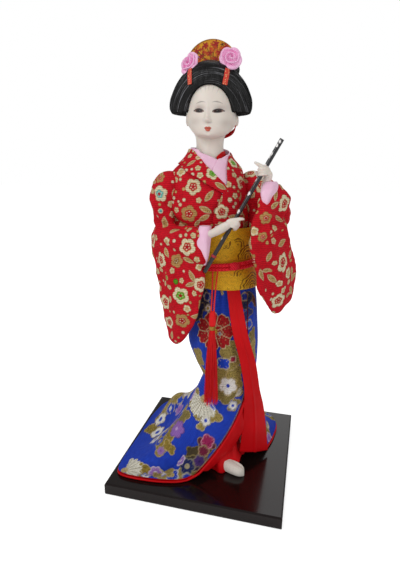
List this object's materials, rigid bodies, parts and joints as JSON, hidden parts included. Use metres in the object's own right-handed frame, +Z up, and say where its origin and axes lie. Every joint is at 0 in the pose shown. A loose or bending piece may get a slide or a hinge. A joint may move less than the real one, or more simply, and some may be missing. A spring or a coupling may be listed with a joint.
{
  "type": "geisha doll",
  "caption": "Standing display doll in kimono with a trailing skirt, sash and tassel, holding a flute, on a square lacquered base.",
  "frame": {"origin": "centre of the base board's underside", "axes": "+Z up, -Y towards the front of the base, +X to the viewer's right"},
  "size_m": [0.125, 0.125, 0.3068],
  "materials": {
    "lacquer_black": "high gloss black lacquer",
    "wire_steel": "plain wire",
    "sock_white": "matte cotton",
    "padding": "matte wadding",
    "skin_white": "matte white paint",
    "peg_wood": "bare wood",
    "hair_black": "fibre with a soft sheen",
    "comb_gold": "gloss, painted",
    "rose_pink": "satin ribbon",
    "ribbon_red": "brocade ribbon",
    "brocade_blue": "brocade",
    "satin_red": "satin",
    "crepe_red": "ribbed crepe",
    "satin_pink": "satin",
    "brocade_gold": "brocade",
    "cord_red": "braided cord and thread",
    "thread_gold": "metallic thread",
    "flute_dark": "semi gloss",
    "flute_red": "semi gloss"
  },
  "bodies": {
    "doll_body": {"base_board": "lacquer_black", "right_leg_wire": "wire_steel", "left_leg_wire": "wire_steel", "right_arm_wire": "wire_steel", "left_arm_wire": "wire_steel", "right_foot": "sock_white", "left_foot": "sock_white", "hip_padding": "padding", "torso_core": "padding", "right_hand": "skin_white", "left_hand": "skin_white", "skirt": "brocade_blue", "hem_piping": "satin_red", "underskirt": "satin_red", "skirt_lining": "satin_red", "front_strip": "satin_red", "inner_collar": "satin_red", "bodice": "crepe_red", "kimono_collar": "crepe_red", "right_sleeve": "crepe_red", "left_sleeve": "crepe_red", "pink_collar": "satin_pink", "right_cuff": "satin_pink", "left_cuff": "satin_pink", "obi_band": "brocade_gold", "obi_bow": "brocade_gold", "obi_tail": "brocade_gold", "obi_cord": "cord_red", "obi_knot": "cord_red", "tassel_cord_a": "cord_red", "tassel_cord_b": "cord_red", "tassel_head": "cord_red", "tassel_skirt": "cord_red", "tassel_tie": "thread_gold"},
    "head": {"head": "skin_white", "neck_peg": "peg_wood", "front_hair": "hair_black", "right_hair": "hair_black", "left_hair": "hair_black", "back_hair": "hair_black", "topknot": "hair_black", "comb": "comb_gold", "right_rose": "rose_pink", "left_rose": "rose_pink", "right_hair_ribbon": "ribbon_red", "left_hair_ribbon": "ribbon_red", "nape_ribbon": "satin_red"},
    "flute": {"flute": "flute_dark", "flute_ring": "flute_red"}
  },
  "joints": [
    {"name": "head_swivel", "type": "hinge", "parent": "doll_body", "child": "head", "pos_m": [-0.0038, 0.001, 0.227], "axis": [0, 0, 1], "range_deg": [-15, 15]},
    {"name": "flute_slide", "type": "slide", "parent": "doll_body", "child": "flute", "axis": [0.4725, 0.0861, 0.8771], "range_m": [0, 0.014]}
  ]
}
